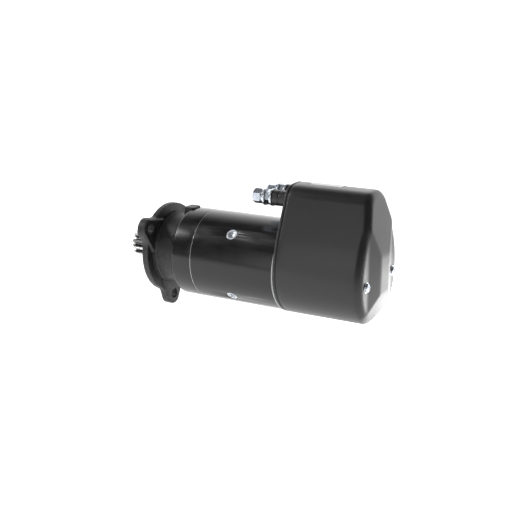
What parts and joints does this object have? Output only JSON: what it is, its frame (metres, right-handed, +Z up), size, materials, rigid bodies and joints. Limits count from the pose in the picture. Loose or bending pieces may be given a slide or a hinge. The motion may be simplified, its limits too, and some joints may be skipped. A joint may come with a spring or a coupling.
{
  "type": "starter motor",
  "caption": "Engine starter motor with sliding pinion, three-lug flange, round yoke tube, tall rear cover over solenoid and relay, and stud terminals.",
  "frame": {"origin": "centre of the flange's mounting face, on the motor axis", "axes": "+X along the motor axis from the flange back to the cover, +Z up towards the terminals, -Y the side seen first"},
  "size_m": [0.3915, 0.1514, 0.1998],
  "materials": {
    "cast_black": "satin cast",
    "paint_black": "semi-gloss",
    "zinc": "zinc plated",
    "steel": "machined",
    "aluminium": "cast",
    "brass": "drawn",
    "copper": "copper",
    "carbon": "pressed carbon",
    "insulation_black": "moulded",
    "insulation_tan": "taped and varnished",
    "rubber_black": "matt",
    "gasket_grey": "pressed fibre",
    "label_white": "blank label"
  },
  "bodies": {
    "housing": {"drive_end_housing": "cast_black", "pinion_bearing": "steel", "shaft_seal": "rubber_black", "bearing_plate": "aluminium", "bearing_plate_bush": "brass", "yoke_tube": "paint_black", "pole_shoes": "steel", "field_coils": "insulation_tan", "pole_screws": "zinc", "end_shield": "cast_black", "rear_bush": "brass", "brush_plate": "steel", "brush_boxes": "brass", "brushes": "carbon", "brush_springs": "steel", "through_bolts": "zinc", "cover_gasket": "gasket_grey", "cover": "paint_black", "cover_screws": "zinc", "cover_screw_washers": "zinc", "label": "label_white", "solenoid_case": "steel", "solenoid_screws": "zinc", "solenoid_core": "steel", "solenoid_coil": "insulation_tan", "guide_sleeve": "brass", "return_spring": "steel", "relay_bracket": "zinc", "relay_case": "zinc", "relay_coil": "insulation_tan", "relay_core": "steel", "relay_spring": "steel", "terminal_block": "insulation_black", "terminal_studs": "zinc", "terminal_insulators": "insulation_black", "terminal_nuts": "zinc", "terminal_thin_nuts": "zinc", "terminal_washers": "zinc", "terminal_spring_washers": "zinc", "motor_lead": "copper", "control_stud": "zinc", "control_insulator": "insulation_black", "control_washer": "zinc", "control_nut": "zinc"},
    "armature": {"armature_shaft": "steel", "armature_core": "steel", "armature_winding": "copper", "commutator": "copper", "clutch_drum": "steel", "clutch_plates": "steel", "clutch_hub": "steel", "clutch_retaining_ring": "steel"},
    "engaging_gear": {"engaging_rod": "steel", "solenoid_plunger": "steel"},
    "pinion": {"pinion_gear": "steel", "pinion_shaft": "steel"},
    "relay_contact": {"contact_bridge": "copper", "relay_plunger": "steel"}
  },
  "joints": [
    {"name": "armature_spin", "type": "hinge", "parent": "housing", "child": "armature", "pos_m": [0.1, 0, 0], "axis": [1, 0, 0], "continuous": true},
    {"name": "engage_slide", "type": "slide", "parent": "housing", "child": "engaging_gear", "axis": [-1, 0, 0], "range_m": [0, 0.022], "stiffness_N_per_m": 900, "springref_m": -0.02, "deforming": ["return_spring"]},
    {"name": "pinion_spin", "type": "hinge", "parent": "engaging_gear", "child": "pinion", "pos_m": [0, 0, 0], "axis": [1, 0, 0], "continuous": true},
    {"name": "contact_slide", "type": "slide", "parent": "housing", "child": "relay_contact", "axis": [-1, 0, 0], "range_m": [0, 0.003], "stiffness_N_per_m": 2500, "springref_m": -0.002, "deforming": ["relay_spring"]}
  ],
  "couplings": [
    {"joint": "pinion_spin", "follows": "armature_spin", "ratio": 1}
  ]
}
